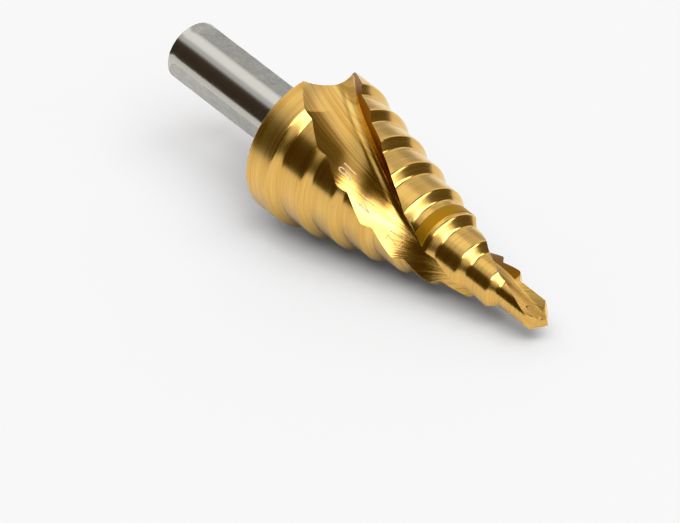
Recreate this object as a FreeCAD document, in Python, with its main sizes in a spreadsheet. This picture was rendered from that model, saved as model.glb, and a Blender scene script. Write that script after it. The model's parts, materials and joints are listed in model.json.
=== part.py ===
"""Step drill with a round shank, three shank flats and two helical flutes, in millimetres.

The drill is one solid. In its own frame the axis is Z, the shank's end is at z = 0 and the
point is at the top. It is then laid on the floor as it comes to rest: on the back of its
collar and on two front corners of one cutting edge, with the point towards +X.
"""
import FreeCAD, Part
import Sketcher
import math
import os

V = FreeCAD.Vector
NODE = "step_drill"
STATIONS = 15

# alias, value and meaning of each driving dimension, in millimetres, degrees or plain counts
DIMENSIONS = [
    ("total_length", 68.5, "shank end to point"),
    ("shank_diameter", 7.9, "round of the shank"),
    ("shank_length", 22.85, "shank end to the back of the collar"),
    ("shank_chamfer", 0.4, "chamfer of the shank's end"),
    ("flat_count", 3, "flats round the shank"),
    ("flat_depth", 0.32, "depth of a flat below the round"),
    ("flat_setback", 0.5, "gap from a flat's run-out to the collar"),
    ("flat_wheel_radius", 4.0, "wheel that leaves the run-out of a flat"),
    ("flat_turn", 29.0, "first flat's centre, from the cutting edge at the collar's back"),
    ("largest_diameter", 20.0, "collar and first land"),
    ("first_land", 4.1, "length of the collar and first land"),
    ("step_count", 8, "steps after the first land"),
    ("step_pitch", 4.74, "from one land's front corner to the next"),
    ("step_drop", 1.0, "loss of radius at each step"),
    ("shoulder_length", 1.1, "length of each sloping shoulder"),
    ("ring_land", 5, "land that carries the depth ring, counted from the collar as 0"),
    ("ring_gap", 0.65, "ring's front to the front corner of its land"),
    ("ring_width", 1.85, "width of the depth ring"),
    ("ring_height", 0.06, "height of the ring over its land"),
    ("point_angle", 85.0, "angle between the two lips"),
    ("lip_relief", 33.0, "fall of the flank behind a lip"),
    ("lip_ahead_share", 0.225, "how far each lip runs ahead of the axis, as a share of the point's radius"),
    ("notch_lean", 8.7, "lean of the notch that thins the web before each lip"),
    ("notch_depth", 3.5, "depth of the notch below the point"),
    ("notch_past", 0.5, "how far a notch runs past the axis"),
    ("flute_count", 2, "flutes round the axis"),
    ("flute_lead", 86.3, "length of one turn of the flutes"),
    ("flute_lag", 14.0, "most that the flute hangs back from an even helix"),
    ("flute_lag_length", 35.0, "length over which it hangs back"),
    ("flute_gain", 7.0, "how far it turns ahead of an even helix at the point"),
    ("flute_gain_start", 13.0, "where that gain starts, behind the point"),
    ("flute_gain_length", 5.0, "length over which it grows"),
    ("flute_opening", 53.0, "angle from cutting edge to heel at the collar's back"),
    ("flute_widening", 0.52, "growth of the opening for each millimetre of length"),
    ("point_widening", 40.0, "further growth of the opening at the point"),
    ("point_widening_length", 19.5, "stretch behind the point where it widens further"),
    ("web_back", 7.8, "radius of the core at the collar's back"),
    ("web_point_share", 0.36, "radius of the core at the point, as a share of the point's radius"),
    ("rake_ahead_share", 0.33, "how far the rake face runs ahead of the axis there, as such a share"),
    ("web_curve", 1.25, "exponent of the core's taper"),
    ("root_share", 0.5, "root radius as a share of the flute's depth"),
    ("runout_radius", 1.6, "further root radius where the wheel runs out at the collar"),
    ("runout_length", 8.0, "length of that run-out"),
    ("heel_radius", 15.0, "hollow of the heel wall at the collar's back"),
    ("heel_flattening", 0.6, "growth of the heel radius for each millimetre of length"),
    ("flute_overrun", 1.0, "how far the flute cutter runs past each end"),
    ("cutter_reach", 2.5, "how far the flute cutter reaches outside the lands"),
]

POINT_RADIUS = "(Dimensions.largest_diameter / 2 - Dimensions.step_count * Dimensions.step_drop)"

# columns of the stations table: alias stem, cell letter and formula, with # for the row
COLUMNS = [
    ("height", "A", "=Dimensions.shank_length - Dimensions.flute_overrun + {share} * "
                    "(Dimensions.total_length - Dimensions.shank_length + 2 * Dimensions.flute_overrun)"),
    ("along", "B", "=A# - Dimensions.shank_length"),
    ("lag", "C", "=Dimensions.flute_lag * sin(180 * min(1; max(0; B# / Dimensions.flute_lag_length))) ^ 2"),
    ("land", "D", "=Dimensions.largest_diameter / 2 - min(Dimensions.step_count; "
                  "max(0; (B# - Dimensions.first_land) / Dimensions.step_pitch)) * Dimensions.step_drop"),
    ("front", "E", "=Dimensions.total_length - A#"),
    ("gain", "F", "=Dimensions.flute_gain * sin(90 * min(1; max(0; (Dimensions.flute_gain_start - E#) / "
                  "Dimensions.flute_gain_length))) ^ 2"),
    ("near", "G", "=min(1; max(0; 1 - E# / Dimensions.point_widening_length)) ^ 3"),
    ("ahead", "H", f"=Dimensions.rake_ahead_share * {POINT_RADIUS} * G#"),
    ("edge", "I", "=asin(H# / D#) / 1deg"),
    ("turn", "J", "=360 * B# / Dimensions.flute_lead - C# + F# - I#"),
    ("opening", "K", "=Dimensions.flute_opening + Dimensions.flute_widening * B# + "
                     "Dimensions.point_widening * G# + I#"),
    ("web", "L", f"=Dimensions.web_point_share * {POINT_RADIUS}"),
    ("core", "M", "=L# + (Dimensions.web_back - L#) * (max(0; E#) / "
                  "(Dimensions.total_length - Dimensions.shank_length)) ^ Dimensions.web_curve"),
    ("root", "N", "=Dimensions.root_share * (D# - M#) + Dimensions.runout_radius * "
                  "max(0; 1 - max(0; B#) / Dimensions.runout_length) ^ 2"),
    ("heel", "O", "=Dimensions.heel_radius + Dimensions.heel_flattening * B#"),
    ("reach", "P", "=D# + Dimensions.cutter_reach"),
]

doc = FreeCAD.newDocument("StepDrill")
sheet = doc.addObject("Spreadsheet::Sheet", "Dimensions")
for row, (alias, value, meaning) in enumerate(DIMENSIONS, start=1):
    sheet.set(f"A{row}", meaning)
    sheet.set(f"B{row}", str(value))
    sheet.setAlias(f"B{row}", alias)
doc.recompute()

table = doc.addObject("Spreadsheet::Sheet", "Stations")
for row in range(1, STATIONS + 1):
    for stem, letter, formula in COLUMNS:
        share = (row - 1) / (STATIONS - 1)
        table.set(f"{letter}{row}", formula.replace("{share}", str(share)).replace("#", str(row)))
        table.setAlias(f"{letter}{row}", f"{stem}_{row}")
doc.recompute()


def dimension(alias):
    """Value of one driving dimension, from the sheet."""
    return float(sheet.get(alias))


def station(stem, row):
    """Value of one column of the stations table."""
    return float(table.get(f"{stem}_{row}"))


body = doc.addObject("PartDesign::Body", "Drill")
body.Label = NODE


def origin_feature(role):
    """Origin plane or axis of the body, found by its role."""
    return next(f for f in body.Origin.OriginFeatures if f.Role == role)


def new_sketch(name, plane, turn_axis=None):
    """Sketch on an origin plane of the body, ready to be turned about an axis of its own."""
    sketch = body.newObject("Sketcher::SketchObject", name)
    sketch.AttachmentSupport = [(origin_feature(plane), "")]
    sketch.MapMode = "FlatFace"
    if turn_axis is not None:
        sketch.AttachmentOffset = FreeCAD.Placement(V(0, 0, 0), FreeCAD.Rotation(turn_axis, 0))
    return sketch


def bind(sketch, kind, places, value, name, expression):
    """Add a dimension to a sketch and tie it to the sheet."""
    index = sketch.addConstraint(Sketcher.Constraint(kind, *places, value))
    sketch.renameConstraint(index, name)
    sketch.setExpression(f"Constraints.{name}", expression)


def closed_polygon(sketch, points):
    """Closed chain of lines through the points, joined end to start."""
    count = len(points)
    for i in range(count):
        start = V(*points[i], 0)
        end = V(*points[(i + 1) % count], 0)
        sketch.addGeometry(Part.LineSegment(start, end), False)
    for i in range(count):
        sketch.addConstraint(Sketcher.Constraint("Coincident", i, 2, (i + 1) % count, 1))


def tie_point(sketch, line, name, point, across, up):
    """Tie the start of a line to the sketch's origin, across and up."""
    for kind, axis, value, expression in (("DistanceX", "across", point[0], across),
                                          ("DistanceY", "up", point[1], up)):
        if expression == "0":
            holder = -2 if kind == "DistanceX" else -1
            sketch.addConstraint(Sketcher.Constraint("PointOnObject", line, 1, holder))
        else:
            bind(sketch, kind, (-1, 1, line, 1), value, f"{name}_{axis}", expression)


def profile_corners():
    """Corners of half the drill's long section: name, radius, height and their expressions."""
    shank = "Dimensions.shank_diameter / 2"
    chamfer = "Dimensions.shank_chamfer"
    collar = "Dimensions.shank_length"
    widest = "Dimensions.largest_diameter / 2"
    corners = [
        ("axis_back", "0", "0"),
        ("shank_end", f"{shank} - {chamfer}", "0"),
        ("shank_round", shank, chamfer),
        ("shank_root", shank, collar),
        ("collar_back", widest, collar),
    ]
    for step in range(int(dimension("step_count"))):
        radius = f"{widest} - {step} * Dimensions.step_drop"
        corner = f"{collar} + Dimensions.first_land + {step} * Dimensions.step_pitch"
        corners.append((f"corner_{step}", radius, corner))
        corners.append((f"shoulder_{step}", f"{radius} - Dimensions.step_drop",
                        f"{corner} + Dimensions.shoulder_length"))
    corners.append(("point_rim", f"{widest} - Dimensions.step_count * Dimensions.step_drop",
                    "Dimensions.total_length"))
    corners.append(("point_axis", "0", "Dimensions.total_length"))
    return corners


def worked_out(expression):
    """Number that an expression on the sheet comes to."""
    return float(sheet.evalExpression(expression))


def make_turned_blank():
    """Shank, collar, lands and shoulders, turned from one long section."""
    sketch = new_sketch("LongSection", "XZ_Plane")
    corners = profile_corners()
    points = [(worked_out(across), worked_out(up)) for name, across, up in corners]
    closed_polygon(sketch, points)
    for line, ((name, across, up), point) in enumerate(zip(corners, points)):
        tie_point(sketch, line, name, point, across, up)
    blank = body.newObject("PartDesign::Revolution", "TurnedBlank")
    blank.Profile = sketch
    blank.ReferenceAxis = (sketch, ["V_Axis"])
    blank.Angle = 360.0
    return blank


def make_depth_ring():
    """Low ring round one land, just behind its front corner."""
    sketch = new_sketch("RingSection", "XZ_Plane")
    land = "Dimensions.largest_diameter / 2 - Dimensions.ring_land * Dimensions.step_drop"
    corner = ("Dimensions.shank_length + Dimensions.first_land"
              " + Dimensions.ring_land * Dimensions.step_pitch")
    front = f"{corner} - Dimensions.ring_gap"
    back = f"{front} - Dimensions.ring_width"
    inner = f"{land} - Dimensions.step_drop / 2"
    outer = f"{land} + Dimensions.ring_height"
    corners = [("inner_back", inner, back), ("outer_back", outer, back),
               ("outer_front", outer, front), ("inner_front", inner, front)]
    points = [(worked_out(across), worked_out(up)) for name, across, up in corners]
    closed_polygon(sketch, points)
    for line, ((name, across, up), point) in enumerate(zip(corners, points)):
        tie_point(sketch, line, name, point, across, up)
    ring = body.newObject("PartDesign::Revolution", "DepthRing")
    ring.Profile = sketch
    ring.ReferenceAxis = (sketch, ["V_Axis"])
    ring.Angle = 360.0
    return ring


def circle_meeting(center_a, radius_a, center_b, radius_b, side):
    """Point where two circles meet, on the left (+1) or right (-1) of the line from a to b."""
    line = center_b - center_a
    distance = line.Length
    along = (radius_a ** 2 - radius_b ** 2 + distance ** 2) / (2 * distance)
    across = math.sqrt(radius_a ** 2 - along ** 2)
    unit = line / distance
    normal = V(-unit.y, unit.x, 0)
    return center_a + unit * along + normal * (side * across)


def flute_section(row):
    """Cutter's section: rake line along x, root arc, heel arc and an arc outside the lands."""
    core = station("core", row)
    root = station("root", row)
    heel = station("heel", row)
    reach = station("reach", row)
    ahead = station("ahead", row)
    opening = math.radians(station("opening", row))
    land = station("land", row)
    edge = V(math.sqrt(reach ** 2 - ahead ** 2), ahead, 0)
    root_center = V(math.sqrt((core + root) ** 2 - (ahead + root) ** 2), ahead + root, 0)
    heel_point = V(land * math.cos(opening), land * math.sin(opening), 0)
    heel_center = circle_meeting(root_center, heel - root, heel_point, heel, -1)
    root_start = V(root_center.x, ahead, 0)
    away = (root_center - heel_center) / (root_center - heel_center).Length
    root_end = root_center + away * root
    heel_end = circle_meeting(V(0, 0, 0), reach, heel_center, heel, 1)

    sketch = new_sketch(f"FluteSection{row}", "XY_Plane", V(0, 0, 1))
    sketch.setExpression("AttachmentOffset.Base.z", f"Stations.height_{row}")
    sketch.setExpression("AttachmentOffset.Rotation.Angle", f"Stations.turn_{row}")
    sketch.addGeometry(Part.LineSegment(edge, root_start), False)
    for center, radius, start, end in ((root_center, root, root_end, root_start),
                                       (heel_center, heel, heel_end, root_end),
                                       (V(0, 0, 0), reach, edge, heel_end)):
        circle = Part.Circle(center, V(0, 0, 1), radius)
        first = math.atan2(start.y - center.y, start.x - center.x)
        last = math.atan2(end.y - center.y, end.x - center.x)
        sketch.addGeometry(Part.ArcOfCircle(circle, first, last), False)
    sketch.addGeometry(Part.LineSegment(V(0, 0, 0), heel_point), True)
    rake, root_arc, heel_arc, outer_arc, heel_ray = range(5)
    sketch.addConstraint(Sketcher.Constraint("Horizontal", rake))
    sketch.addConstraint(Sketcher.Constraint("Tangent", rake, 2, root_arc, 2))
    sketch.addConstraint(Sketcher.Constraint("Tangent", root_arc, 1, heel_arc, 2))
    sketch.addConstraint(Sketcher.Constraint("Coincident", heel_arc, 1, outer_arc, 2))
    sketch.addConstraint(Sketcher.Constraint("Coincident", outer_arc, 1, rake, 1))
    sketch.addConstraint(Sketcher.Constraint("Coincident", outer_arc, 3, -1, 1))
    sketch.addConstraint(Sketcher.Constraint("Coincident", heel_ray, 1, -1, 1))
    sketch.addConstraint(Sketcher.Constraint("PointOnObject", heel_ray, 2, heel_arc))
    bind(sketch, "DistanceY", (-1, 1, rake, 1), ahead, "rake_ahead", f"Stations.ahead_{row}")
    bind(sketch, "Radius", (outer_arc,), reach, "cutter_reach", f"Stations.reach_{row}")
    bind(sketch, "Radius", (root_arc,), root, "root_radius", f"Stations.root_{row}")
    bind(sketch, "Radius", (heel_arc,), heel, "heel_radius", f"Stations.heel_{row}")
    bind(sketch, "Distance", (-1, 1, root_arc, 3), core + root, "root_distance",
         f"Stations.core_{row} + Stations.root_{row}")
    bind(sketch, "Distance", (heel_ray, 1, heel_ray, 2), land, "land_radius", f"Stations.land_{row}")
    bind(sketch, "Angle", (heel_ray,), opening, "opening", f"Stations.opening_{row}")
    return sketch


def turned_copies(feature, name, count_alias):
    """Copies of a feature spaced evenly round the drill's axis, with every face kept as cut."""
    pattern = body.newObject("PartDesign::PolarPattern", name)
    pattern.Originals = [feature]
    pattern.Axis = (origin_feature("Z_Axis"), [""])
    pattern.Angle = 360.0
    pattern.Refine = False
    pattern.setExpression("Occurrences", f"Dimensions.{count_alias}")
    body.Tip = pattern
    return pattern


def make_flutes():
    """One flute lofted through the stations and cut, then turned round the axis."""
    sections = [flute_section(row) for row in range(1, STATIONS + 1)]
    doc.recompute()
    flute = body.newObject("PartDesign::SubtractiveLoft", "Flute")
    flute.Profile = sections[0]
    flute.Sections = sections[1:]
    flute.Ruled = False
    flute.Refine = False
    doc.recompute()
    return turned_copies(flute, "Flutes", "flute_count")


LIP_SLOPE = "(1 / tan(Dimensions.point_angle / 2))"
RELIEF_SLOPE = "tan(Dimensions.lip_relief)"
NOTCH_SLOPE = "(1 / tan(Dimensions.notch_lean))"
LIP_AHEAD = f"(Dimensions.lip_ahead_share * {POINT_RADIUS})"
LIP_TURN = ("360 * (Dimensions.total_length - Dimensions.shank_length) / Dimensions.flute_lead"
            " + Dimensions.flute_gain - asin(Dimensions.rake_ahead_share) / 1deg")


def upright_sketch(name, turn, corners):
    """Closed outline on a plane through the axis, turned about it, from corners given as expressions."""
    sketch = new_sketch(name, "XZ_Plane", V(0, 1, 0))
    sketch.setExpression("AttachmentOffset.Rotation.Angle", turn)
    points = [(worked_out(across), worked_out(up)) for name, across, up in corners]
    closed_polygon(sketch, points)
    for line, ((name, across, up), point) in enumerate(zip(corners, points)):
        tie_point(sketch, line, name, point, across, up)
    return sketch


def make_point():
    """Two flanks ground flat, which meet in the chisel edge and fall away behind each lip."""
    slope = f"sqrt({LIP_SLOPE} ^ 2 + {RELIEF_SLOPE} ^ 2)"
    turn = f"{LIP_TURN} - atan({RELIEF_SLOPE} / {LIP_SLOPE}) / 1deg"
    half_width = "Dimensions.largest_diameter / 2"
    top = "Dimensions.total_length"
    eaves = f"{top} - {half_width} * {slope}"
    above = f"{top} + {half_width}"
    flanks = body.newObject("PartDesign::Pocket", "PointFlanks")
    flanks.Profile = upright_sketch("PointRoof", turn, [
        ("ridge", "0", top), ("eaves", half_width, eaves), ("above", half_width, above),
        ("far_above", f"-({half_width})", above), ("far_eaves", f"-({half_width})", eaves)])
    flanks.SideType = "Symmetric"
    flanks.setExpression("Length", "Dimensions.largest_diameter")
    body.Tip = flanks
    return flanks


def make_notches():
    """A steep notch before each lip, which thins the web and leaves the lip just ahead of the axis."""
    slope = f"sqrt({LIP_SLOPE} ^ 2 + {NOTCH_SLOPE} ^ 2)"
    turn = f"{LIP_TURN} + atan({NOTCH_SLOPE} / {LIP_SLOPE}) / 1deg"
    rise = f"({NOTCH_SLOPE} + {RELIEF_SLOPE}) * {LIP_AHEAD}"
    clear = LIP_AHEAD
    above = f"Dimensions.total_length + {clear}"
    below = "Dimensions.total_length - Dimensions.notch_depth"
    outside = f"{POINT_RADIUS} + {clear}"
    notch = body.newObject("PartDesign::Pocket", "PointNotch")
    notch.Profile = upright_sketch("NotchSection", turn, [
        ("high", f"({rise} - {clear}) / {slope}", above),
        ("low", f"({rise} + Dimensions.notch_depth) / {slope}", below),
        ("low_outside", outside, below), ("high_outside", outside, above)])
    notch.SideType = "Two sides"
    notch.setExpression("Length", "Dimensions.notch_past")
    notch.setExpression("Length2", outside)
    doc.recompute()
    return turned_copies(notch, "PointNotches", "flute_count")


def make_shank_flats():
    """One flat ground along the shank, with the wheel's run-out at its end, turned round."""
    surface = "Dimensions.shank_diameter / 2 - Dimensions.flat_depth"
    clear = "Dimensions.shank_diameter / 2 + Dimensions.flat_depth"
    runout = (f"sqrt(Dimensions.flat_wheel_radius ^ 2 - (Dimensions.flat_wheel_radius"
              " - 2 * Dimensions.flat_depth) ^ 2)")
    end = "Dimensions.shank_length - Dimensions.flat_setback"
    flat_end = f"{end} - {runout}"
    start = "-Dimensions.flat_setback"
    inner, outer = worked_out(surface), worked_out(clear)
    first, last, top = worked_out(start), worked_out(flat_end), worked_out(end)
    wheel = dimension("flat_wheel_radius")
    wheel_center = V(inner + wheel, last, 0)

    sketch = new_sketch("FlatSection", "XZ_Plane", V(0, 1, 0))
    sketch.setExpression("AttachmentOffset.Rotation.Angle", "Dimensions.flat_turn")
    sketch.addGeometry(Part.LineSegment(V(inner, first, 0), V(inner, last, 0)), False)
    circle = Part.Circle(wheel_center, V(0, 0, 1), wheel)
    leave = math.atan2(top - last, outer - wheel_center.x)
    sketch.addGeometry(Part.ArcOfCircle(circle, leave, math.pi), False)
    sketch.addGeometry(Part.LineSegment(V(outer, top, 0), V(outer, first, 0)), False)
    sketch.addGeometry(Part.LineSegment(V(outer, first, 0), V(inner, first, 0)), False)
    ground, wheel_arc, outside, back = range(4)
    sketch.addConstraint(Sketcher.Constraint("Vertical", ground))
    sketch.addConstraint(Sketcher.Constraint("Tangent", ground, 2, wheel_arc, 2))
    sketch.addConstraint(Sketcher.Constraint("Coincident", wheel_arc, 1, outside, 1))
    sketch.addConstraint(Sketcher.Constraint("Coincident", outside, 2, back, 1))
    sketch.addConstraint(Sketcher.Constraint("Coincident", back, 2, ground, 1))
    sketch.addConstraint(Sketcher.Constraint("Vertical", outside))
    sketch.addConstraint(Sketcher.Constraint("Horizontal", back))
    bind(sketch, "DistanceX", (-1, 1, ground, 1), inner, "ground_face", surface)
    bind(sketch, "DistanceY", (-1, 1, ground, 1), first, "flat_start", start)
    bind(sketch, "DistanceX", (-1, 1, outside, 1), outer, "clear_of_round", clear)
    bind(sketch, "DistanceY", (-1, 1, outside, 1), top, "flat_end", end)
    bind(sketch, "Radius", (wheel_arc,), wheel, "wheel_radius", "Dimensions.flat_wheel_radius")
    flat = body.newObject("PartDesign::Pocket", "ShankFlat")
    flat.Profile = sketch
    flat.SideType = "Symmetric"
    flat.setExpression("Length", "Dimensions.shank_diameter")
    doc.recompute()
    return turned_copies(flat, "ShankFlats", "flat_count")


def edge_corner(step):
    """Front corner of a land on the second flute's cutting edge, in the drill's own frame."""
    along = dimension("first_land") + step * dimension("step_pitch")
    radius = dimension("largest_diameter") / 2 - step * dimension("step_drop")
    lag = dimension("flute_lag") * math.sin(math.pi * min(1, along / dimension("flute_lag_length"))) ** 2
    turn = math.radians(360 * along / dimension("flute_lead") - lag + 180)
    return V(radius * math.cos(turn), radius * math.sin(turn), dimension("shank_length") + along)


def heel_corner():
    """Corner of the second flute's heel on the back of the collar, in the drill's own frame."""
    radius = dimension("largest_diameter") / 2
    turn = math.radians(180 + dimension("flute_opening"))
    return V(radius * math.cos(turn), radius * math.sin(turn), dimension("shank_length"))


def lying_placement():
    """Lay the drill on the plane through its three contact corners, point towards +X."""
    contacts = [heel_corner(), edge_corner(1), edge_corner(2)]
    down = (contacts[1] - contacts[0]).cross(contacts[2] - contacts[0]).normalize()
    if down.dot(contacts[0]) < 0:
        down = -down
    up = -down
    axis = V(0, 0, 1)
    ahead = (axis - up * axis.dot(up)).normalize()
    side = up.cross(ahead)
    matrix = FreeCAD.Matrix(ahead.x, ahead.y, ahead.z, 0, side.x, side.y, side.z, 0,
                            up.x, up.y, up.z, 0, 0, 0, 0, 1)
    turn = FreeCAD.Rotation(matrix)
    laid = body.Shape.copy()
    laid.Placement = FreeCAD.Placement(V(0, 0, 0), turn)
    box = laid.optimalBoundingBox()
    return FreeCAD.Placement(V(-box.Center.x, -box.Center.y, -box.ZMin), turn)


def check(name, feature, before, removes):
    """Stop if a feature failed, or if it didn't change the volume the way it should."""
    volume = feature.Shape.Volume
    if not feature.Shape.isValid() or (volume < before) != removes:
        raise RuntimeError(f"{name} failed: volume {before:.1f} to {volume:.1f}")
    print(f"{name}: {volume:.1f} cubic mm")
    return volume


# the drill is made in this order: turned, fluted, ground at the shank and at the point
volume = 0.0
for name, make, removes in (("turned blank", make_turned_blank, False),
                            ("depth ring", make_depth_ring, False),
                            ("flutes", make_flutes, True),
                            ("shank flats", make_shank_flats, True),
                            ("point flanks", make_point, True),
                            ("point notches", make_notches, True)):
    feature = make()
    doc.recompute()
    volume = check(name, feature, volume, removes)

body.Placement = lying_placement()
doc.recompute()

for obj in doc.Objects:
    if "Invalid" in obj.State or "Error" in obj.State:
        raise RuntimeError(f"{obj.Name} failed: {obj.State}")
if body.Shape.isNull() or not body.Shape.isValid() or len(body.Shape.Solids) != 1:
    raise RuntimeError("the drill isn't one valid solid")

os.makedirs("parts", exist_ok=True)
body.Shape.exportStep(f"parts/{body.Label}.step")
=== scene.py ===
"""Step drill on a white table: a gold-coated stepped cone with two helical flutes on a bare steel shank.

Every surface is worked out in the drill's own frame, in millimetres, with the axis along z, the
shank's end at z = 0 and the point at z = LENGTH. Angles go round the axis by the right-hand rule,
from the first cutting edge at the collar's back. to_row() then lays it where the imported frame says.
"""
import bpy
import json
import math
import numpy as np
from mathutils import Matrix, Vector
from mathutils.bvhtree import BVHTree


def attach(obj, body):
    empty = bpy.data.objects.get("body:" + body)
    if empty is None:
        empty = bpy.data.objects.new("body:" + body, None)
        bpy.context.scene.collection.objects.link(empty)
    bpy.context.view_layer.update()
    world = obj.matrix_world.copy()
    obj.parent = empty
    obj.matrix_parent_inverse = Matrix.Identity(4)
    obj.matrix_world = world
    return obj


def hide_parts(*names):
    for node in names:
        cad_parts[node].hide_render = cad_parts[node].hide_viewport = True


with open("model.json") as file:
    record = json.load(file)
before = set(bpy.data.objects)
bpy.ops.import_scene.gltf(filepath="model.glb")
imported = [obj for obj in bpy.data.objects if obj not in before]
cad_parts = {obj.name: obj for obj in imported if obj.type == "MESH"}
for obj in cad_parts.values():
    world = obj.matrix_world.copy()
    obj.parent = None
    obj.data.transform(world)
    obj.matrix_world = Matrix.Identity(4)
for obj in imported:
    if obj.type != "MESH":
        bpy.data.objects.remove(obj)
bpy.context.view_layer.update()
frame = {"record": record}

MM = 0.001

# sizes of the drill, in millimetres and degrees
LENGTH = 68.5
SHANK_RADIUS = 3.95
SHANK_LENGTH = 22.85
SHANK_CHAMFER = 0.4
FLAT_COUNT = 3
FLAT_DEPTH = 0.32
FLAT_SETBACK = 0.5
FLAT_WHEEL = 4.0
FLAT_TURN = 29.0
FLAT_FADE = 1.2
SHANK_OVERLAP = 0.4
COLLAR_RADIUS = 10.0
COLLAR_CHAMFER = 0.25
FIRST_LAND = 4.1
STEPS = 8
STEP_PITCH = 4.74
STEP_DROP = 1.0
SHOULDER = 1.1
RING_LAND = 5
RING_GAP = 0.65
RING_WIDTH = 1.85
RING_HEIGHT = 0.06
CORNER_ROUND = 0.2
RELIEF_SHARE = 0.03
AXIAL_RELIEF = 0.15
POINT_ANGLE = 85.0
LIP_RELIEF = 33.0
LIP_AHEAD = 0.45
NOTCH_LEAN = 8.7
NOTCH_PAST = 0.5
FLUTES = 2
FLUTE_LEAD = 86.3
FLUTE_LAG = 14.0
FLUTE_LAG_LENGTH = 35.0
FLUTE_GAIN = 7.0
FLUTE_GAIN_START = 13.0
FLUTE_GAIN_LENGTH = 5.0
FLUTE_OPENING = 53.0
FLUTE_WIDENING = 0.52
POINT_WIDENING = 40.0
POINT_WIDENING_LENGTH = 19.5
WEB_BACK = 7.6
WEB_POINT = 0.72
RAKE_AHEAD = 0.66
WEB_CURVE = 1.65
ROOT_SHARE = 0.5
RUNOUT_RADIUS = 1.6
RUNOUT_LENGTH = 8.0
HEEL_RADIUS = 15.0
HEEL_FLATTENING = 0.6
LEAST_RAKE = 0.12

# fineness of the meshes: points round and rows along each stretch, and lengths of the point in millimetres
LAND_COLUMNS = 56
RAKE_COLUMNS = 6
ROOT_COLUMNS = 18
HEEL_COLUMNS = 44
LAND_ROWS = 9
CORNER_ROWS = 7
SHOULDER_ROWS = 4
POINT_ROWS = 14
POINT_ROWS_LENGTH = 3.0
POINT_SEARCH = 3.2
HALVINGS = 36
BACK_RINGS = 6
CAP_RINGS = 40
CUTTER_SHARP = 24.0
FLAT_COLUMNS = 12
ROUND_COLUMNS = 24
SHANK_ROWS = 30
RUNOUT_ROWS = 14
RUNOUT_SHARE = 0.998
COSINE_LIMIT = 0.99999
END_RINGS = (0.0, 0.5, 0.9, 1.0)
SHANK_SHARP = 12.0

# where a finish, or the painted shade of the rake face, ends, in millimetres
RING_MARGIN = 0.01
COLLAR_MARGIN = 0.1
RAKE_SHADE_END = 8.0

# the photograph's view: turn of the drill to the camera, angle of its axis, and scale at the axis
PHOTO_SIZE = (680, 523)
FACING_TURN = 84.04
AXIS_ANGLE = 37.3
IMAGE_SLOPE = 37.65
PIXELS_PER_MM = 8.25
SHANK_END_PIXEL = (189.7, 47.4)
CAMERA_DISTANCE = 2400.0
CAMERA_CLIP = (0.05, 20.0)
SENSOR = 36.0

# etched numbers in the photograph's pixels: number, foot of its first digit, its height, step to the next
ETCHED = [("16", (344.3, 163.0), (11.8, 11.9), (-4.8, 4.5)),
          ("14", (362.3, 195.2), (12.4, 11.3), (-4.8, 5.4)),
          ("12", (390.0, 230.5), (14.4, 8.8), (-3.0, 6.3))]
DIGIT_WIDTH = 0.75
ETCH_WIDTH = 0.17
ETCH_STEP = 0.5
ETCH_SUNK = -0.06
ETCH_RAISED = 0.02
ETCH_GOLD = (0.76, 0.56, 0.34)
ETCH_METALLIC = 0.3
ETCH_ROUGHNESS = 0.6

# colours of the finishes, and the painted shade of the rake face
GOLD = (0.78, 0.555, 0.2)
DEEP_GOLD = (0.68, 0.43, 0.125)
RING_GOLD = (0.5, 0.29, 0.035)
# the rake face's dark brown is painted shade: the gold darkened where the flute shades it
RAKE_SHADE_GOLD = (0.3, 0.14, 0.02)
FLUTE_DEEP = (0.6, 0.35, 0.08)
STEEL = (0.55, 0.54, 0.5)
DARK_STEEL = (0.42, 0.415, 0.39)

# grinding lines: streaks of the flute follow its angle at this radius and share of the helix; fine and
# coarse noise are mixed; from FLUTE_ROUGH_FROM on, over ROUGH_OVER each way, the flute is rougher and deeper
STREAK_RADIUS = 6.0
STREAK_TWIST = 0.65
FINE_SHARE = 0.6
FINE_DETAIL = 3.0
COARSE_DETAIL = 2.0
COARSE_SCALE = 4
COARSE_SHIFT = 7.0
NOISE_ROUGHNESS = 0.6
TINT_RANGE = (0.35, 0.65)
FLUTE_ROUGH_FROM = 44.0
ROUGH_OVER = 2.0
ROUGHER_BY = 0.06
DEEPER_BY = 1.2

# floor, with a faint glow: painted light that lightens the shadows on it
TABLE_HALF = 4.0
TABLE_WHITE = (0.835, 0.843, 0.85)
TABLE_ROUGHNESS = 0.6
TABLE_GLOW = 0.06

# sky, in degrees: patches as azimuth, elevation, radius and soft border; cards as azimuth, half width,
# lowest and highest elevation and soft border
SOFTBOX = ((-16, 57, 24, 4), (-70, 62, 13, 4), (25, 58, 14, 4), (53, 57, 10, 3))
SOFTBOX_LEVEL = 3.2
CEILING_LEVEL = 0.65
CEILING_CARDS = ((0.4, (178, 26, 43, 72, 6)), (0.3, (108, 16, 12, 52, 8)), (-0.3, (130, 8, 8, 27, 5)))
DARK_CARDS = ((-90, 54, -60, 46, 4), (-80, 40, 40, 120, 5))
DARK_OVERHEAD = (67, 74)
DARK_DEPTH = 0.87
DIM_CARD = (62, 33, -60, 53, 4)
DIM_DEPTH = 0.76
DIM_TINT = 0.8
CARD_TINT = (1.0, 0.78, 0.64)
BACKDROP = 0.9

# the camera's response, from a level of light to the one that is shown
TONES = ((0.0, 0.0), (0.014, 0.003), (0.06, 0.042), (0.2, 0.18), (0.45, 0.48), (0.65, 0.76), (0.85, 0.92),
         (1.0, 0.985))


def mount(name):
    """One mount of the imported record."""
    return next(m for m in frame["record"]["mounts"] if m["name"] == name)


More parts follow.
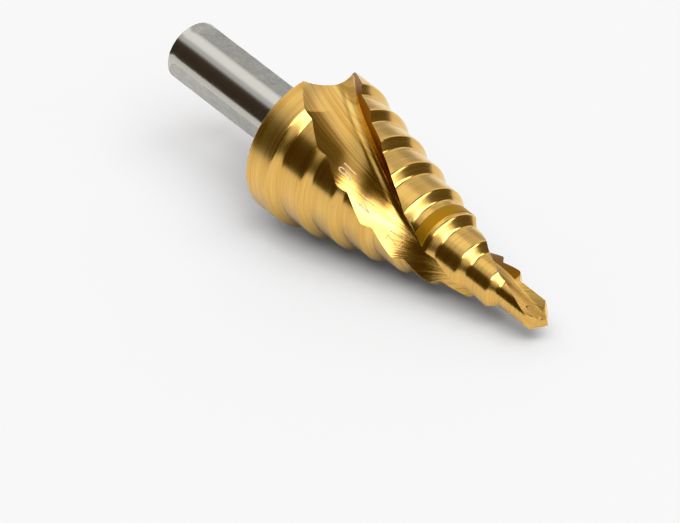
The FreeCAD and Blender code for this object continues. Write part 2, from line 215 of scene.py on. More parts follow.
def contact_corners():
    """The three corners that the drill lies on: the collar's heel and two front corners of one edge."""
    heel_turn = math.radians(180 + FLUTE_OPENING)
    corners = [(COLLAR_RADIUS * math.cos(heel_turn), COLLAR_RADIUS * math.sin(heel_turn), SHANK_LENGTH)]
    for step in (1, 2):
        along = FIRST_LAND + step * STEP_PITCH
        turn = math.radians(float(flute_turn(SHANK_LENGTH + along)) + 180)
        radius = COLLAR_RADIUS - step * STEP_DROP
        corners.append((radius * math.cos(turn), radius * math.sin(turn), SHANK_LENGTH + along))
    return [Vector(c) for c in corners]


def drill_axes():
    """Directions of the drill's own x, y and z in the row frame, from its mount and its contacts."""
    ahead = -Vector(mount("shank_end")["axis"]).normalized()
    heel, first, second = contact_corners()
    down = (first - heel).cross(second - heel).normalized()
    if down.dot(heel) < 0:
        down = -down
    across = Vector((down.x, down.y, 0)).normalized()
    row_down = Vector((0, 0, -1))
    lowest = (row_down - ahead * row_down.dot(ahead)).normalized()
    side = ahead.cross(lowest)
    x_axis = lowest * across.x - side * across.y
    y_axis = ahead.cross(x_axis)
    return np.array([x_axis, y_axis, ahead])


def flute_turn(z):
    """Angle of the first cutting edge at height z: an even helix, less a lag, plus a gain at the point."""
    along = np.asarray(z, float) - SHANK_LENGTH
    lag = FLUTE_LAG * np.sin(np.pi * np.clip(along / FLUTE_LAG_LENGTH, 0, 1)) ** 2
    start = FLUTE_GAIN_START - (LENGTH - np.asarray(z, float))
    gain = FLUTE_GAIN * np.sin(np.pi / 2 * np.clip(start / FLUTE_GAIN_LENGTH, 0, 1)) ** 2
    return 360 * along / FLUTE_LEAD - lag + gain


def nearness(z):
    """0 along the drill, rising to 1 at the point with the cube of the distance."""
    return np.clip(1 - (LENGTH - z) / POINT_WIDENING_LENGTH, 0, 1) ** 3


def straight_land(z):
    """Radius of the even cone that the flute follows, before the lands are stepped."""
    steps = np.clip((z - SHANK_LENGTH - FIRST_LAND) / STEP_PITCH, 0, STEPS)
    return COLLAR_RADIUS - steps * STEP_DROP


def rake_turn(z):
    """Angle of the rake face: the cutting edge's, less the angle of the face's lead over the axis."""
    return flute_turn(z) - np.degrees(np.arcsin(RAKE_AHEAD * nearness(z) / straight_land(z)))


def soft_ramp(x, run, blend):
    """0 before the ramp, 1 after its run, with both corners rounded over the blend length."""
    def bend(t):
        """Integral of a unit step that is smeared over plus and minus the blend."""
        mid = (t + blend) ** 2 / (4 * blend)
        return np.where(t < -blend, 0.0, np.where(t > blend, t, mid))
    return (bend(x) - bend(x - run)) / run


def step_corner(step):
    """Height at which a step's shoulder begins to fall."""
    return SHANK_LENGTH + FIRST_LAND + step * STEP_PITCH


def ring_front():
    """Height of the depth ring's front side."""
    return step_corner(RING_LAND) - RING_GAP


def land_radius(z):
    """Radius at the cutting edge: the collar less a rounded ramp for each shoulder, plus the ring."""
    radius = np.full(np.shape(z), COLLAR_RADIUS)
    for step in range(STEPS):
        corner = step_corner(step)
        radius = radius - STEP_DROP * soft_ramp(z - corner, SHOULDER, CORNER_ROUND)
    radius = radius - COLLAR_CHAMFER * np.clip(1 - (z - SHANK_LENGTH) / COLLAR_CHAMFER, 0, 1)
    front = ring_front()
    ring = soft_ramp(z - (front - RING_WIDTH), RING_HEIGHT, RING_HEIGHT / 4)
    ring = ring - soft_ramp(z - (front - RING_HEIGHT), RING_HEIGHT, RING_HEIGHT / 4)
    return radius + RING_HEIGHT * ring


def flute_shape(z):
    """Circles of the flute's section at height z, in a frame whose x axis runs along the rake face."""
    along = z - SHANK_LENGTH
    land = straight_land(z)
    ahead = RAKE_AHEAD * nearness(z)
    opening = FLUTE_OPENING + FLUTE_WIDENING * along + POINT_WIDENING * nearness(z)
    share = np.maximum(LENGTH - z, 0) / (LENGTH - SHANK_LENGTH)
    core = WEB_POINT + (WEB_BACK - WEB_POINT) * share ** WEB_CURVE
    root = (ROOT_SHARE * (land - core)
            + RUNOUT_RADIUS * np.maximum(0, 1 - np.maximum(along, 0) / RUNOUT_LENGTH) ** 2)
    heel = HEEL_RADIUS + HEEL_FLATTENING * along
    root_center = np.sqrt((core + root) ** 2 - (ahead + root) ** 2) + 1j * (ahead + root)
    heel_point = land * np.exp(1j * (np.radians(opening) + np.arcsin(ahead / land)))
    line = heel_point - root_center
    gap = np.abs(line)
    reach = ((heel - root) ** 2 - heel ** 2 + gap ** 2) / (2 * gap)
    across = np.sqrt((heel - root) ** 2 - reach ** 2)
    heel_center = root_center + line / gap * (reach - 1j * across)
    return root_center, root, heel_center, heel, ahead


def flute_points(z, cut_radius, heel_land, fractions):
    """Points of the flute's section from the cutting edge to the heel, as complex numbers.

    The section is a rake line along x, a root arc and a heel arc, each tangent to the last. It
    starts where it leaves the circle of cut_radius and ends where it meets heel_land. Fractions
    0, 1, 2 and 3 are the cutting edge, the rake's foot, the root's end and the heel.
    """
    root_center, root, heel_center, heel, ahead = flute_shape(z)
    away = (root_center - heel_center) / np.abs(root_center - heel_center)
    root_last = np.angle(away)
    root_last = np.where(root_last > 0, root_last - 2 * np.pi, root_last)
    edge = np.sqrt(cut_radius ** 2 - ahead ** 2)
    lean = (cut_radius ** 2 - np.abs(root_center) ** 2 - root ** 2) / (2 * root * np.abs(root_center))
    leave = np.angle(root_center) - np.arccos(np.clip(lean, -1, 1))
    on_rake = edge >= root_center.real
    rake_run = np.where(on_rake, edge - root_center.real, 0.0)
    root_begin = np.where(on_rake, -np.pi / 2, leave)
    root_run = root * (root_begin - root_last)
    lean = (heel_land ** 2 - np.abs(heel_center) ** 2 - heel ** 2) / (2 * heel * np.abs(heel_center))
    heel_last = np.angle(heel_center) + np.arccos(np.clip(lean, -1, 1))
    heel_first = root_last + 2 * np.pi
    heel_run = heel * (heel_first - heel_last)
    foot = np.maximum(rake_run, LEAST_RAKE * (rake_run + root_run))
    marks = [np.zeros_like(foot), foot, rake_run + root_run, rake_run + root_run + heel_run]
    lower = np.clip(np.floor(fractions), 0, 2).astype(int)
    marks = np.stack(np.broadcast_arrays(*marks), -1)
    start = np.take_along_axis(marks, lower[..., None], -1)[..., 0]
    stop = np.take_along_axis(marks, lower[..., None] + 1, -1)[..., 0]
    run = start + (stop - start) * (fractions - lower)
    on_root = run - rake_run
    on_heel = on_root - root_run
    rake_point = edge - run + 1j * ahead
    root_point = root_center + root * np.exp(1j * (root_begin - on_root / root))
    heel_point = heel_center + heel * np.exp(1j * (heel_first - on_heel / heel))
    return np.where(on_root < 0, rake_point, np.where(on_heel < 0, root_point, heel_point))


def section_columns():
    """Columns of one flute and one land: the kind of each, and its fraction along its own stretch."""
    flute = np.concatenate([np.linspace(0, 1, RAKE_COLUMNS, endpoint=False),
                            np.linspace(1, 2, ROOT_COLUMNS, endpoint=False),
                            np.linspace(2, 3, HEEL_COLUMNS)])
    land = np.linspace(0, 1, LAND_COLUMNS + 1)
    return flute, land


def heel_relief(radius):
    """Fall of a land's radius from its cutting edge to its heel."""
    return RELIEF_SHARE * radius


def row_shift(z):
    """How far a row lies further back at the heel than at the cutting edge."""
    ramp = np.clip((z - SHANK_LENGTH) / FIRST_LAND, 0, 1)
    return AXIAL_RELIEF * ramp


def section_at(heights, fractions, on_land):
    """Points of the section for rows of heights, given for the cutting edge, and columns of fractions.

    A flute column follows the flute's own curve; a land column falls from the next cutting edge to
    the heel behind it. Each row leans back by row_shift from the edge to the heel. The pattern's
    coordinate across the grind comes with each point: the land's arc, or the flute's angle as streaks.
    """
    back = np.where(on_land, 1 - fractions, fractions / 3)
    z = heights - row_shift(heights) * back
    cut = land_radius(heights)
    heel_row = heights - row_shift(heights)
    heel_land = cut - heel_relief(cut)
    flute = flute_points(z, cut, heel_land, np.where(on_land, 3.0, fractions))
    heel_here = flute_points(heel_row, cut, heel_land, np.full_like(z, 3.0))
    edge_next = flute_points(heights, cut, heel_land, np.zeros_like(z))
    first = np.angle(heel_here) + np.radians(rake_turn(heel_row))
    last = np.angle(edge_next) + np.radians(rake_turn(heights)) + 2 * np.pi / FLUTES
    angle = first + (last - first) * fractions
    radius = cut - heel_relief(cut) * (1 - fractions)
    point = np.where(on_land, radius * np.exp(1j * angle), flute * np.exp(1j * np.radians(rake_turn(z))))
    streak = STREAK_RADIUS * (np.angle(flute) + STREAK_TWIST * np.radians(rake_turn(z)))
    measure = np.where(on_land, angle * cut, streak)
    return point, z, measure


def profile_heights():
    """Heights of the rows: close together at every corner of the profile, even between them."""
    marks = [SHANK_LENGTH, SHANK_LENGTH + COLLAR_CHAMFER]
    bends = CORNER_ROUND * np.linspace(-1, 1, CORNER_ROWS)
    rows = [np.array(marks)]
    start = SHANK_LENGTH + COLLAR_CHAMFER
    for step in range(STEPS):
        corner = step_corner(step)
        rows.append(np.linspace(start, corner - CORNER_ROUND, LAND_ROWS)[1:-1])
        rows.append(corner + bends)
        fall = corner + CORNER_ROUND, corner + SHOULDER - CORNER_ROUND
        rows.append(np.linspace(*fall, SHOULDER_ROWS)[1:-1])
        rows.append(corner + SHOULDER + bends)
        start = corner + SHOULDER + CORNER_ROUND
    front = ring_front()
    for side in (front - RING_WIDTH, front - RING_HEIGHT):
        rows.append(side + RING_HEIGHT * np.array([-0.25, 0.25, 0.75, 1.25]))
    rows.append(np.linspace(start, LENGTH - POINT_ROWS_LENGTH, LAND_ROWS)[1:])
    return np.unique(np.concatenate(rows))


def point_top(point):
    """Height of the ground faces of the point over a place in the plane.

    In a frame with x along the lips and y ahead of the first, the flanks are the roof
    LENGTH - |a x - b y|, and each notch is a steep plane that holds its lip.
    """
    lip = 1 / math.tan(math.radians(POINT_ANGLE / 2))
    relief = math.tan(math.radians(LIP_RELIEF))
    notch = 1 / math.tan(math.radians(NOTCH_LEAN))
    local = point * np.exp(-1j * math.radians(float(rake_turn(LENGTH))))
    top = LENGTH - np.abs(lip * local.real - relief * local.imag)
    for half in (local, -local):
        steep = LENGTH + (notch + relief) * LIP_AHEAD - lip * half.real - notch * half.imag
        inside = (notch * half.real - lip * half.imag) / math.hypot(notch, lip) > -NOTCH_PAST
        top = np.where(inside & (half.imag > 0), np.minimum(top, steep), top)
    return top


def column_ends(columns, on_land):
    """Height at which each column of the section meets the ground faces, found by halving."""
    low = np.full(columns.shape, LENGTH - POINT_SEARCH)
    high = np.full(columns.shape, LENGTH)
    for _ in range(HALVINGS):
        middle = (low + high) / 2
        point, z, _measure = section_at(middle, columns, on_land)
        above = z > point_top(point)
        high = np.where(above, middle, high)
        low = np.where(above, low, middle)
    return (low + high) / 2


def join_grids(grids):
    """One set of vertices, faces, materials and pattern coordinates from several grids."""
    points, faces, kinds, coords = [], [], [], []
    base = 0
    for grid in grids:
        rows, columns = grid["points"].shape[:2]
        points.append(grid["points"].reshape(-1, 3))
        index = base + np.arange(rows * columns).reshape(rows, columns)
        corners = np.stack([index[:-1, :-1], index[:-1, 1:], index[1:, 1:], index[1:, :-1]], -1)
        faces.append(corners.reshape(-1, 4))
        kind = np.broadcast_to(grid["kind"], (rows, columns))[:-1, :-1]
        kinds.append(kind.reshape(-1))
        coords.append(grid["coords"].reshape(-1, 2))
        base += rows * columns
    return (np.concatenate(points), np.concatenate(faces), np.concatenate(kinds),
            np.concatenate(coords))


def weld(points, faces, spacing=1e-5):
    """Merge points that lie together; the faces keep their corners, less the ones that collapse."""
    keys = np.round(points / spacing).astype(np.int64)
    _, first, index = np.unique(keys, axis=0, return_index=True, return_inverse=True)
    return points[first], index.reshape(-1)[faces]


def to_row(points):
    """Points of the drill's own frame, in millimetres, laid in the row frame, in metres."""
    return points @ AXES * MM + np.array(mount("shank_end")["pos_m"])


def make_piece(name, grids, materials, sharp_angle):
    """Mesh piece of welded grids, with its materials, pattern map and sharp edges."""
    raw, faces, kinds, coords = join_grids(grids)
    welded, corners = weld(raw, faces)
    same = corners == np.roll(corners, 1, axis=1)
    counts = 4 - same.sum(1)
    whole = (counts >= 3) & (corners[:, 0] != corners[:, 2]) & (corners[:, 1] != corners[:, 3])
    kept = ~same & whole[:, None]
    mesh = bpy.data.meshes.new(name)
    loops = corners[kept]
    starts = np.concatenate([[0], np.cumsum(counts[whole])[:-1]])
    mesh.vertices.add(len(welded))
    mesh.vertices.foreach_set("co", to_row(welded).astype(np.float32).reshape(-1))
    mesh.loops.add(len(loops))
    mesh.loops.foreach_set("vertex_index", loops.astype(np.int32))
    mesh.polygons.add(len(starts))
    mesh.polygons.foreach_set("loop_start", starts.astype(np.int32))
    mesh.polygons.foreach_set("material_index", kinds[whole].astype(np.int32))
    mesh.update(calc_edges=True)
    pattern = mesh.uv_layers.new(name="pattern")
    pattern.data.foreach_set("uv", coords[faces][kept].astype(np.float32).reshape(-1))
    mesh.validate()
    mesh.set_sharp_from_angle(angle=math.radians(sharp_angle))
    for material in materials:
        mesh.materials.append(material)
    piece = bpy.data.objects.new(name, mesh)
    bpy.context.scene.collection.objects.link(piece)
    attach(piece, "root")
    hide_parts("step_drill")
    return piece


class Nodes:
    """Node tree of one material or world, with expressions on its sockets."""

    def __init__(self, tree):
        self.tree = tree

    def add(self, kind, settings=None, **inputs):
        """New node of a type, its settings set first, then its inputs as values or sockets."""
        node = self.tree.nodes.new(kind)
        for key, value in (settings or {}).items():
            setattr(node, key, value)
        for key, value in inputs.items():
            name = key.replace("_", " ")
            socket = node.inputs[int(key[1:])] if key[0] == "i" and key[1:].isdigit() else node.inputs[name]
            if isinstance(value, Value):
                self.tree.links.new(value.socket, socket)
            else:
                socket.default_value = value
        return node

    def out(self, node, name=0):
        """One output of a node, ready for expressions."""
        return Value(self, node.outputs[name])


class Value:
    """A socket that adds Math nodes as it is used in an expression."""

    def __init__(self, nodes, socket):
        self.nodes = nodes
        self.socket = socket

    def math(self, operation, *others):
        """Math node on this socket and the others."""
        inputs = {f"i{k}": v for k, v in enumerate((self, *others))}
        return self.nodes.out(self.nodes.add("ShaderNodeMath", {"operation": operation}, **inputs))

    def __add__(self, other):
        return self.math("ADD", other)

    __radd__ = __add__

    def __mul__(self, other):
        return self.math("MULTIPLY", other)

    __rmul__ = __mul__

    def __sub__(self, other):
        return self.math("SUBTRACT", other)

    def __rsub__(self, other):
        return (self * -1.0) + other

    def smooth(self, low, high):
        """Smooth step from 0 at low to 1 at high."""
        node = self.nodes.add("ShaderNodeMapRange", {"interpolation_type": "SMOOTHSTEP"},
                              Value=self, From_Min=low, From_Max=high)
        return self.nodes.out(node, "Result")


def blend_colours(nodes, factor, first, second):
    """Colour that goes from the first to the second as the factor goes from 0 to 1."""
    node = nodes.add("ShaderNodeMix", {"data_type": "RGBA"})
    for socket, value in zip((node.inputs[0], node.inputs[6], node.inputs[7]), (factor, first, second)):
        if isinstance(value, Value):
            nodes.tree.links.new(value.socket, socket)
        else:
            socket.default_value = value if isinstance(value, float) else (*value, 1.0)
    return nodes.out(node, 2)


def stretched(nodes, across, along, detail, shift):
    """Noise on the pattern map, drawn out along or across the grind; scales are per millimetre."""
    place = nodes.out(nodes.add("ShaderNodeUVMap", {"uv_map": "pattern"}), "UV")
    scaled = nodes.add("ShaderNodeMapping", None, Vector=place, Scale=(across, along, 1.0),
                       Location=(shift, shift, 0.0))
    noise = nodes.add("ShaderNodeTexNoise", None, Vector=nodes.out(scaled), Scale=1.0, Detail=detail,
                      Roughness=NOISE_ROUGHNESS)
    return nodes.out(noise, "Fac")


def metal(name, colour, deep, roughness, spread, grind, bump, rough_from=None):
    """Ground metal: lines in colour, roughness and bump, drawn out as the wheel left them.

    Grind gives the lines per millimetre across and along, and bump their height in millimetres.
    """
    material = bpy.data.materials.new(name)
    material.use_nodes = True
    nodes = Nodes(material.node_tree)
    shader = material.node_tree.nodes["Principled BSDF"]
    across, along = grind
    fine = stretched(nodes, across, along, FINE_DETAIL, 0.0)
    coarse = stretched(nodes, across / COARSE_SCALE, along / COARSE_SCALE, COARSE_DETAIL, COARSE_SHIFT)
    lines = fine * FINE_SHARE + coarse * (1 - FINE_SHARE)
    tint = blend_colours(nodes, lines.smooth(*TINT_RANGE), deep, colour)
    nodes.tree.links.new(tint.socket, shader.inputs["Base Color"])
    rough = roughness + spread * (lines - 0.5)
    height = lines
    if rough_from is not None:
        place = nodes.out(nodes.add("ShaderNodeUVMap", {"uv_map": "pattern"}), "UV")
        ahead = nodes.out(nodes.add("ShaderNodeSeparateXYZ", None, Vector=place), "Y")
        rougher = ahead.smooth(rough_from - ROUGH_OVER, rough_from + ROUGH_OVER)
        rough = rough + ROUGHER_BY * rougher
        height = lines * (1 + DEEPER_BY * rougher)
    nodes.tree.links.new(rough.socket, shader.inputs["Roughness"])
    relief = nodes.add("ShaderNodeBump", None, Strength=1.0, Distance=bump * MM, Height=height)
    nodes.tree.links.new(relief.outputs["Normal"], shader.inputs["Normal"])
    shader.inputs["Metallic"].default_value = 1.0
    return material


def make_cutter(materials):
    """The stepped cone: lands, flutes, collar back, and the flanks and notches of the point."""
    flute, land = section_columns()
    heights = profile_heights()
    flute_kind, land_kind, ground_kind, ring_kind, rake_shade_kind, collar_kind = range(6)
    front = ring_front()
    grids = []
    rims = []
    tops = []
    for copy in range(FLUTES):
        turn = np.exp(2j * np.pi * copy / FLUTES)
        for columns, on_land, kind in ((flute, np.False_, flute_kind), (land, np.True_, land_kind)):
            ends = column_ends(columns, on_land)
            share = np.linspace(0, 1, POINT_ROWS)[1:, None]
            rows = np.concatenate([np.broadcast_to(heights[:, None], (len(heights), len(columns))),
                                   heights[-1] + (ends - heights[-1]) * share])
            point, z, measure = section_at(rows, np.broadcast_to(columns, rows.shape), on_land)
            point = point * turn
            points = np.stack([point.real, point.imag, z], -1)
            on_ring = (rows > front - RING_WIDTH - RING_MARGIN) & (rows < front - RING_MARGIN)
            on_collar = rows < step_corner(0) - COLLAR_MARGIN
            # the rake face away from the point gets the dark material: painted shade
            on_rake = (columns < 1) & (rows < LENGTH - RAKE_SHADE_END)
            kinds = np.where(on_ring & on_land, ring_kind, kind)
            kinds = np.where(on_land & on_collar, collar_kind, kinds)
            kinds = np.where(~on_land & on_rake, rake_shade_kind, kinds)
            grids.append({"points": points, "kind": kinds, "coords": np.stack([measure, z], -1)})
            rims.append(points[0])
            tops.append(points[-1])
    rim = np.concatenate(rims)
    share = np.linspace(0, 1, BACK_RINGS)[:, None, None]
    back = rim * np.array([1, 1, 0]) * share + np.array([0, 0, SHANK_LENGTH])
    grids.append({"points": back, "kind": ground_kind, "coords": back[..., :2]})
    top = np.concatenate(tops)
    share = np.linspace(1, 0, CAP_RINGS)[:, None]
    plane = (top[:, 0] + 1j * top[:, 1]) * share
    height = point_top(plane)
    height[0] = top[:, 2]
    cap = np.stack([plane.real, plane.imag, height], -1)
    grids.append({"points": cap, "kind": ground_kind, "coords": cap[..., :2]})
    return make_piece("cutter", grids, materials, CUTTER_SHARP)


def make_shank(materials):
    """Round shank with three ground flats and a chamfered end.

    Each flat fades out with a smooth step towards the shank's end, and leaves the collar by the arc
    of its grinding wheel.
    """
    runout = math.sqrt(FLAT_WHEEL ** 2 - (FLAT_WHEEL - 2 * FLAT_DEPTH) ** 2)
    flat_end = SHANK_LENGTH - FLAT_SETBACK - runout
    rise_end = math.sqrt(FLAT_WHEEL ** 2 - (FLAT_WHEEL - FLAT_DEPTH) ** 2)
    round_kind, flat_kind = range(2)
    heights = np.concatenate([np.linspace(SHANK_CHAMFER, flat_end, SHANK_ROWS),
                              flat_end + rise_end * np.linspace(0, RUNOUT_SHARE, RUNOUT_ROWS)[1:],
                              [SHANK_LENGTH + SHANK_OVERLAP]])
    into = np.clip(heights - flat_end, 0, rise_end)
    fade = np.clip((heights - SHANK_CHAMFER) / FLAT_FADE, 0, 1)
    depth = FLAT_DEPTH * fade * fade * (3 - 2 * fade)
    plane = SHANK_RADIUS - depth + FLAT_WHEEL - np.sqrt(FLAT_WHEEL ** 2 - into ** 2)
    half = np.arccos(np.clip(plane / SHANK_RADIUS, -1, COSINE_LIMIT))
    half[-1] = half[-2]
    grids = []
    pitch = 2 * np.pi / FLAT_COUNT
    for flat in range(FLAT_COUNT):
        centre = math.radians(FLAT_TURN) + flat * pitch
        across = np.linspace(-1, 1, FLAT_COLUMNS)
        angle = centre + half[:, None] * across
        radius = SHANK_RADIUS * np.cos(half)[:, None] / np.cos(angle - centre)
        grids.append(shank_grid(angle, radius, heights, flat_kind))
        first = centre + half
        last = centre + pitch - half
        angle = first[:, None] + (last - first)[:, None] * np.linspace(0, 1, ROUND_COLUMNS)
        grids.append(shank_grid(angle, np.full_like(angle, SHANK_RADIUS), heights, round_kind))
    grids.append(shank_end_grid(grids, round_kind))
    return make_piece("shank", grids, materials, SHANK_SHARP)


def shank_grid(angle, radius, heights, kind):
    """Grid of one flat or one round strip of the shank."""
    z = np.broadcast_to(heights[:, None], angle.shape)
    points = np.stack([radius * np.cos(angle), radius * np.sin(angle), z], -1)
    return {"points": points, "kind": kind, "coords": np.stack([angle * SHANK_RADIUS, z], -1)}


def shank_end_grid(grids, kind):
    """Chamfer and flat end of the shank, closed at the axis."""
    first = np.concatenate([g["points"][0] for g in grids])
    flat = first * np.array([1, 1, 0])
    reach = np.hypot(flat[:, 0], flat[:, 1])[:, None]
    inner = flat * np.minimum(1, (SHANK_RADIUS - SHANK_CHAMFER) / reach)
    inner[:, 2] = 0
    rings = [inner * share for share in END_RINGS] + [first]
    points = np.stack(rings)
    return {"points": points, "kind": kind, "coords": points[..., :2]}


def photo_camera():
    """Long-lens camera placed so that the drill stands in the photograph as it does there."""
    facing = math.radians(FACING_TURN)
    toward = np.array([math.cos(facing), math.sin(facing), 0]) @ AXES
    beside = np.array([math.sin(facing), -math.cos(facing), 0]) @ AXES
    ahead = AXES[2]
    tilt = math.radians(AXIS_ANGLE)
    back = math.cos(tilt) * toward + math.sin(tilt) * ahead
    along = math.cos(tilt) * ahead - math.sin(tilt) * toward
    slope = math.radians(IMAGE_SLOPE)
    right = math.cos(slope) * along + math.sin(slope) * beside
    up = -math.sin(slope) * along + math.cos(slope) * beside
    offset = np.array([PHOTO_SIZE[0] / 2 - SHANK_END_PIXEL[0], SHANK_END_PIXEL[1] - PHOTO_SIZE[1] / 2])
    shift = offset / PIXELS_PER_MM
    middle = LENGTH / 2 * ahead
    aim = right * shift[0] + up * shift[1]
    level = back * float(np.dot(middle, back))
    place = to_row(np.zeros(3)) + (aim + level + back * CAMERA_DISTANCE) * MM
    data = bpy.data.cameras.new("photo_camera")
    data.sensor_width = SENSOR
    data.lens = SENSOR * PIXELS_PER_MM * CAMERA_DISTANCE / PHOTO_SIZE[0]
    data.clip_start, data.clip_end = CAMERA_CLIP
    camera = bpy.data.objects.new("photo_camera", data)
    camera.matrix_world = Matrix(((*[right[0], up[0], back[0]], place[0]),
                                  (*[right[1], up[1], back[1]], place[1]),
                                  (*[right[2], up[2], back[2]], place[2]), (0, 0, 0, 1)))
    bpy.context.scene.collection.objects.link(camera)
    bpy.context.scene.camera = camera


def digit_strokes(digit):
    """Strokes of one etched digit as chains of points, across from -0.5 to 0.5 and up from 0 to 1."""
    if digit == "1":
        return [[(0, 0), (0, 1)]]
    if digit == "2":
        return [[(-0.42, 0.78), (-0.25, 0.96), (0.05, 1.0), (0.34, 0.88), (0.38, 0.66), (-0.42, 0.0),
                 (0.44, 0.0)]]
    if digit == "4":
        return [[(0.5, 0.3), (-0.5, 0.3), (0.22, 1.0), (0.22, 0.0)]]
    turns = np.radians(np.arange(0, 361, 24))
    loop = [(0.42 * math.cos(t), 0.29 + 0.29 * math.sin(t)) for t in turns]
    return [loop, [(-0.42, 0.29), (-0.4, 0.62), (-0.2, 0.93), (0.1, 1.0), (0.38, 0.9)]]


def fine_chain(points, step):
    """Points along a chain of straight pieces, no further apart than the step."""
    points = np.array(points, float)
    out = [points[:1]]
    for start, end in zip(points[:-1], points[1:]):
        count = max(1, int(math.ceil(float(np.linalg.norm(end - start)) / step)))
        out.append(start + (end - start) * np.linspace(0, 1, count + 1)[1:, None])
    return np.concatenate(out)


def etched_numbers(cutter, material):
    """The hole sizes etched on the heel wall: thin raised ribbons, laid on it along the line of sight."""
    camera = bpy.context.scene.camera
    tree = BVHTree.FromPolygons([v.co for v in cutter.data.vertices],
                                [tuple(p.vertices) for p in cutter.data.polygons])
    turn = np.array(camera.matrix_world.to_3x3())
    back = turn[:, 2]
    eye = np.array(camera.matrix_world.translation)
    points, faces = [], []
    for number, foot, rise, advance in ETCHED:
        for place, digit in enumerate(number):
            for stroke in digit_strokes(digit):
                flat = np.array(stroke)
                path = (np.array(foot) + np.outer(flat[:, 1], rise)
                        + np.outer(flat[:, 0] * DIGIT_WIDTH + place, advance))
                path = fine_chain(path, ETCH_STEP)
                run = np.gradient(path, axis=0)
                side = np.stack([-run[:, 1], run[:, 0]], -1) / np.linalg.norm(run, axis=1)[:, None]
                rails = [path + side * s * ETCH_WIDTH * PIXELS_PER_MM / 2 for s in (-1, 1)]
                base = len(points)
                for pair in zip(*rails):
                    for pixel, lift in ((pair[0], ETCH_SUNK), (pair[0], ETCH_RAISED),
                                        (pair[1], ETCH_RAISED), (pair[1], ETCH_SUNK)):
                        lens = np.array([pixel[0] - PHOTO_SIZE[0] / 2, PHOTO_SIZE[1] / 2 - pixel[1], 0])
                        lens = lens / PIXELS_PER_MM / CAMERA_DISTANCE
                        sight = Vector(turn @ (lens + np.array([0, 0, -1]))).normalized()
                        hit = tree.ray_cast(Vector(eye), sight)[0]
                        points.append(np.array(hit) + back * lift * MM)
                rings = np.arange(base, len(points)).reshape(-1, 4)
                for first, last in zip(rings[:-1], rings[1:]):
                    for k in range(4):
                        faces.append((first[k], last[k], last[(k + 1) % 4], first[(k + 1) % 4]))
                faces.append(tuple(rings[0]))
                faces.append(tuple(rings[-1][::-1]))
    mesh = bpy.data.meshes.new("etched_numbers")
    mesh.from_pydata([tuple(p) for p in points], [], [tuple(int(k) for k in f) for f in faces])
    mesh.materials.append(material)
    piece = bpy.data.objects.new("etched_numbers", mesh)
    bpy.context.scene.collection.objects.link(piece)
    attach(piece, "root")


def etch_material():
    """Matt etched metal, paler than the dark reflections and darker than the bright ones."""
    material = bpy.data.materials.new("etch")
    material.use_nodes = True
    shader = material.node_tree.nodes["Principled BSDF"]
    shader.inputs["Base Color"].default_value = (*ETCH_GOLD, 1)
    shader.inputs["Metallic"].default_value = ETCH_METALLIC
    shader.inputs["Roughness"].default_value = ETCH_ROUGHNESS
    return material


def table_top():
    """Plain pale floor under the drill, glowing faintly: painted light that lightens the shadows on it."""
    half = TABLE_HALF
    mesh = bpy.data.meshes.new("table_top")
    mesh.from_pydata([(-half, -half, 0), (half, -half, 0), (half, half, 0), (-half, half, 0)], [],
                     [(0, 1, 2, 3)])
    material = bpy.data.materials.new("white_table")
    material.use_nodes = True
    shader = material.node_tree.nodes["Principled BSDF"]
    shader.inputs["Base Color"].default_value = (*TABLE_WHITE, 1)
    shader.inputs["Roughness"].default_value = TABLE_ROUGHNESS
    # painted light: a faint white glow that lifts the floor's shadows
    shader.inputs["Emission Color"].default_value = (1, 1, 1, 1)
    shader.inputs["Emission Strength"].default_value = TABLE_GLOW
    mesh.materials.append(material)
    floor = bpy.data.objects.new("table_top", mesh)
    bpy.context.scene.collection.objects.link(floor)


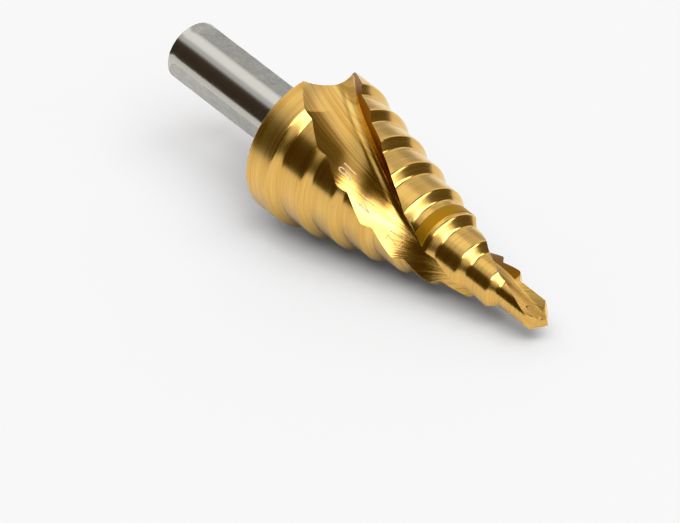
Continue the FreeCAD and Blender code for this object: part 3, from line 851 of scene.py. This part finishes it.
def studio():
    """Soft studio light: a large softbox, a bright ceiling, dark and dim cards and a pale backdrop."""
    world = bpy.data.worlds.new("studio")
    bpy.context.scene.world = world
    world.use_nodes = True
    nodes = Nodes(world.node_tree)
    direction = nodes.out(nodes.add("ShaderNodeTexCoord"), "Generated")
    parts = nodes.add("ShaderNodeSeparateXYZ", None, Vector=direction)
    east, north, up = (nodes.out(parts, k) for k in range(3))
    turn = north.math("ARCTAN2", east) * (180 / math.pi)
    rise = up.math("ARCSINE") * (180 / math.pi)

    def spot(azimuth, elevation, radius, soft):
        """1 in a round patch of the sky about a direction, fading to 0 over a soft border."""
        a, e = math.radians(azimuth), math.radians(elevation)
        unit = (math.cos(e) * math.cos(a), math.cos(e) * math.sin(a), math.sin(e))
        lean = nodes.add("ShaderNodeVectorMath", {"operation": "DOT_PRODUCT"}, i0=direction, i1=unit)
        away = nodes.out(lean, "Value").math("ARCCOSINE") * (180 / math.pi)
        return away.smooth(radius + soft, radius - soft)

    def card(azimuth, half, low, high, soft):
        """1 in a box of azimuths and elevations, with soft borders."""
        off = (turn - azimuth + 180).math("FLOORED_MODULO", 360.0) - 180
        side = off.math("ABSOLUTE").smooth(half + soft, half - soft)
        return side * rise.smooth(low - soft, low + soft) * rise.smooth(high + soft, high - soft)

    softbox = spot(*SOFTBOX[0])
    for patch in SOFTBOX[1:]:
        softbox = softbox.math("MAXIMUM", spot(*patch))
    dark = rise.smooth(*DARK_OVERHEAD)
    for box in DARK_CARDS:
        dark = dark.math("MAXIMUM", card(*box))
    dim = card(*DIM_CARD)
    level = sum((gain * card(*box) for gain, box in CEILING_CARDS), CEILING_LEVEL)
    level = level * (1 - DARK_DEPTH * dark) * (1 - DIM_DEPTH * dim)
    level = level * (1 - softbox) + SOFTBOX_LEVEL * softbox
    shade = dark.math("MAXIMUM", dim * DIM_TINT) * (1 - softbox)
    seen = nodes.out(nodes.add("ShaderNodeLightPath"), "Is Camera Ray")
    level = level * (1 - seen) + BACKDROP * seen
    colour = blend_colours(nodes, shade * (1 - seen), (1.0, 1.0, 1.0), CARD_TINT)
    background = world.node_tree.nodes["Background"]
    nodes.tree.links.new(level.socket, background.inputs["Strength"])
    nodes.tree.links.new(colour.socket, background.inputs["Color"])


def tone_curve(points):
    """Camera's response through the given points: darks deeper and high tones a little lifted."""
    view = bpy.context.scene.view_settings
    view.use_curve_mapping = True
    curve = view.curve_mapping.curves[3]
    for place, height in points[1:-1]:
        curve.points.new(place, height)
    curve.points[-1].location = points[-1]
    view.curve_mapping.update()


AXES = drill_axes()
flute_gold = metal("flute_gold", GOLD, FLUTE_DEEP, 0.15, 0.14, (6.0, 0.05), 0.018, FLUTE_ROUGH_FROM)
# rake face: one dark brown, painted shade, with only faint grind lines
rake_shade_gold = metal("rake_shade_gold", RAKE_SHADE_GOLD, RAKE_SHADE_GOLD, 0.28, 0.1, (5.0, 0.05), 0.002)
collar_gold = metal("collar_gold", GOLD, DEEP_GOLD, 0.28, 0.14, (0.12, 8.0), 0.016)
ring_gold = metal("ring_gold", RING_GOLD, RING_GOLD, 0.5, 0.1, (0.25, 14.0), 0.002)
land_gold = metal("land_gold", GOLD, DEEP_GOLD, 0.2, 0.12, (0.15, 10.0), 0.008)
back_gold = metal("back_gold", GOLD, DEEP_GOLD, 0.3, 0.1, (3.0, 3.0), 0.002)
shank_steel = metal("shank_steel", STEEL, STEEL, 0.16, 0.06, (0.8, 3.0), 0.0003)
flat_steel = metal("flat_steel", STEEL, DARK_STEEL, 0.42, 0.12, (2.6, 2.0), 0.004)
cutter = make_cutter([flute_gold, land_gold, back_gold, ring_gold, rake_shade_gold, collar_gold])
make_shank([shank_steel, flat_steel])
table_top()
studio()
photo_camera()
bpy.context.view_layer.update()
etched_numbers(cutter, etch_material())
bpy.context.scene.view_settings.view_transform = "Standard"
bpy.context.scene.cycles.caustics_reflective = False
tone_curve(TONES)
